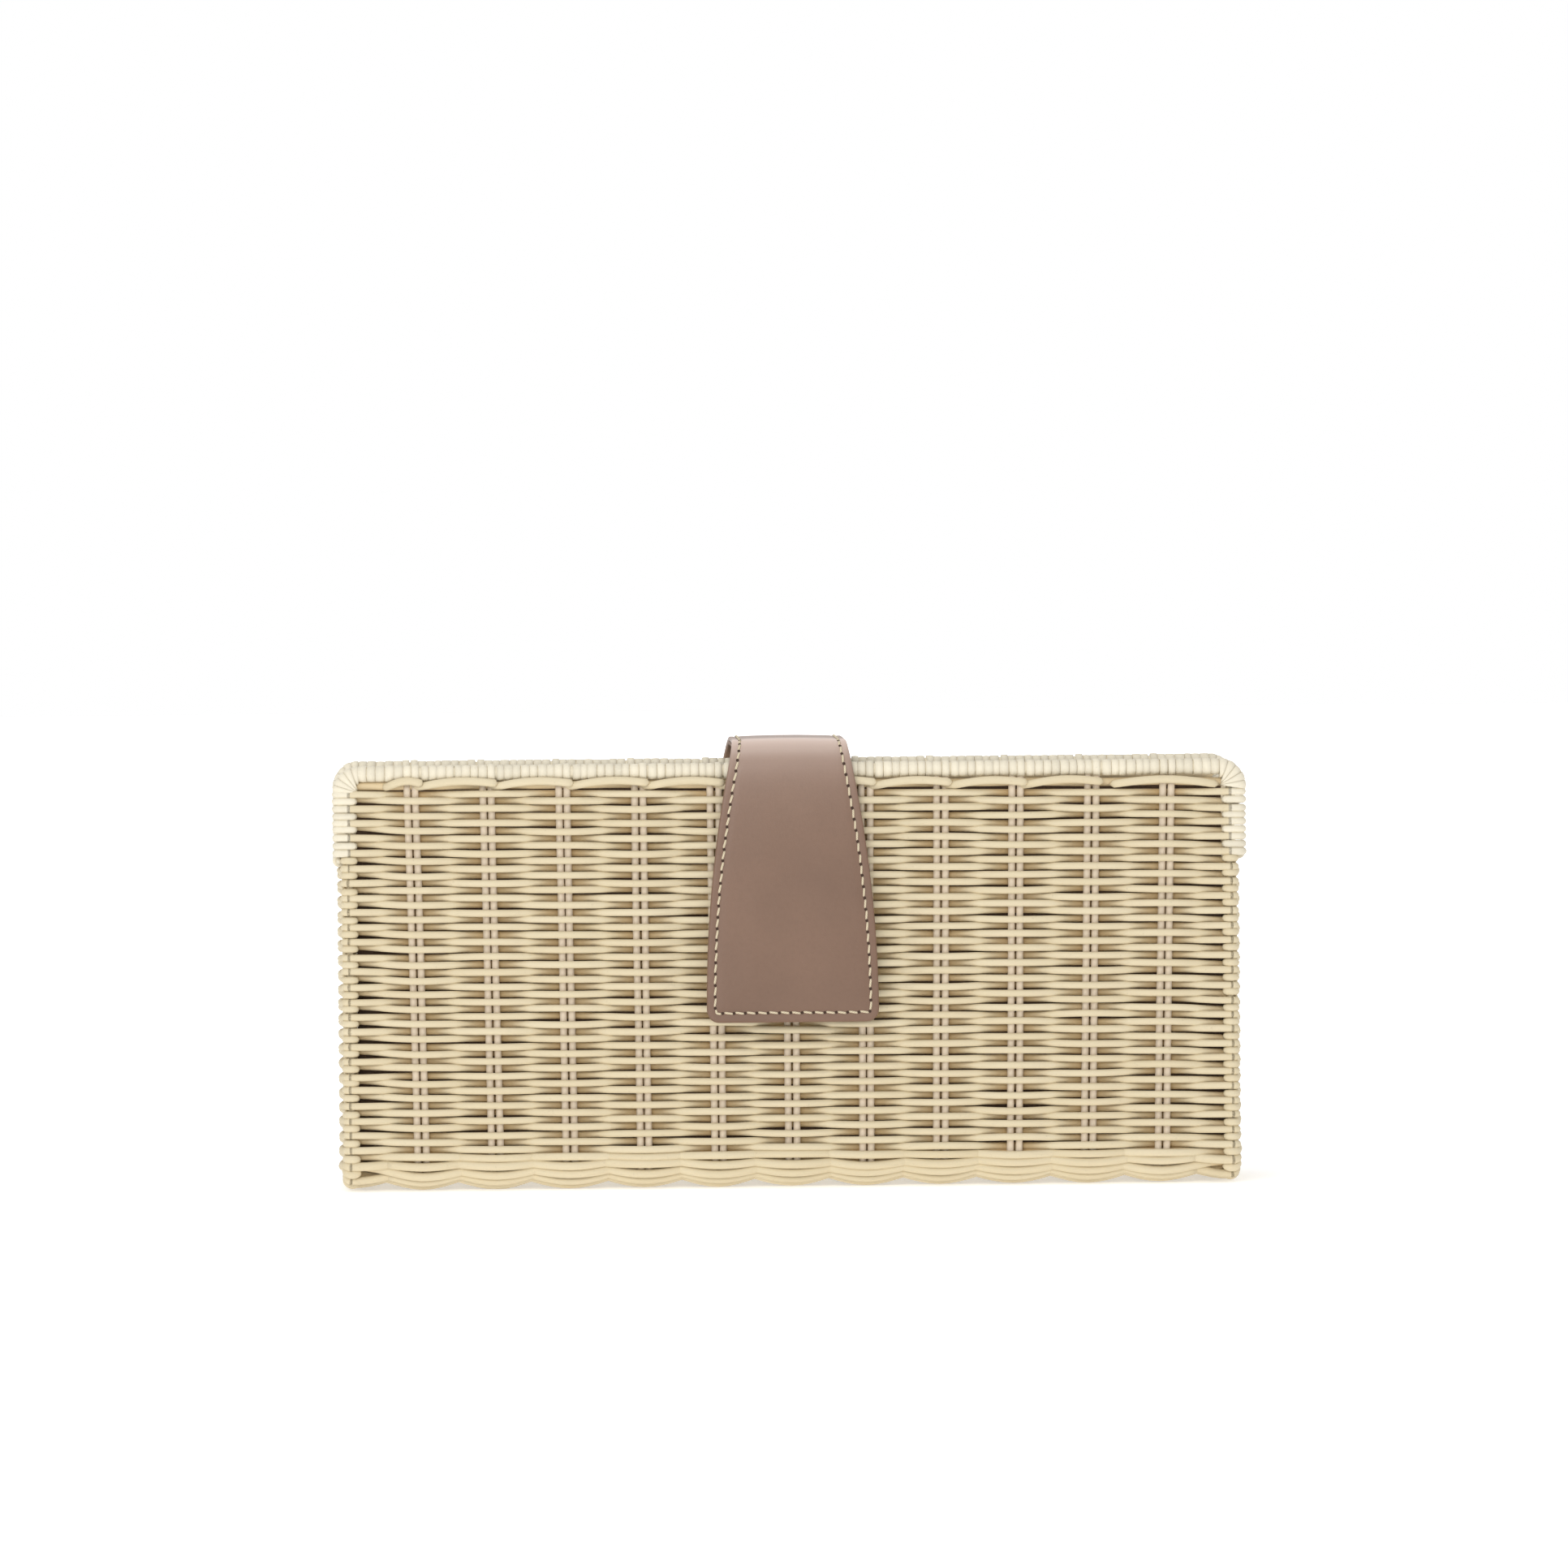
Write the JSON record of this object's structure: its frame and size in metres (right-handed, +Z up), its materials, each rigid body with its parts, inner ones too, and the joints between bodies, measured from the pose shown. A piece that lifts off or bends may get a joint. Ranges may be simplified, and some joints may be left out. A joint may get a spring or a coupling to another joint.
{
  "type": "woven clutch",
  "caption": "Rigid woven rattan clutch, open between two wrapped rims, closed by a leather tab that swings over the mouth to a magnetic snap in front.",
  "frame": {"origin": "middle of the base, on the surface that the clutch stands on", "axes": "+Z up to the rims, -Y to the front with the tab's face, +X along the rims"},
  "size_m": [0.29, 0.0584, 0.142],
  "materials": {
    "rattan_weave": "satin natural rattan core",
    "rattan_wrap": "satin rattan wrapping",
    "rattan_strand": "satin rattan stake ends",
    "tab_leather": "smooth matte leather",
    "backing_leather": "plain matte leather",
    "lining_cloth": "plain woven cotton",
    "snap_metal": "polished light gold"
  },
  "bodies": {
    "basket": {"woven_body": "rattan_weave", "left_side_wall": "rattan_weave", "right_side_wall": "rattan_weave", "front_rim": "rattan_wrap", "back_rim": "rattan_wrap", "left_rail": "rattan_wrap", "right_rail": "rattan_wrap", "left_side_border": "rattan_wrap", "right_side_border": "rattan_wrap", "front_border_strands": "rattan_strand", "back_border_strands": "rattan_strand", "lining": "lining_cloth", "anchor_leather": "tab_leather", "anchor_backing": "backing_leather", "snap_socket": "snap_metal", "snap_washer": "snap_metal"},
    "tab": {"tab_leather": "tab_leather", "tab_backing": "backing_leather", "snap_stud": "snap_metal"}
  },
  "joints": [
    {"name": "tab_hinge", "type": "hinge", "parent": "basket", "child": "tab", "pos_m": [0, 0.02384, 0.131], "axis": [-1, 0, 0], "range_deg": [0, 110]}
  ]
}
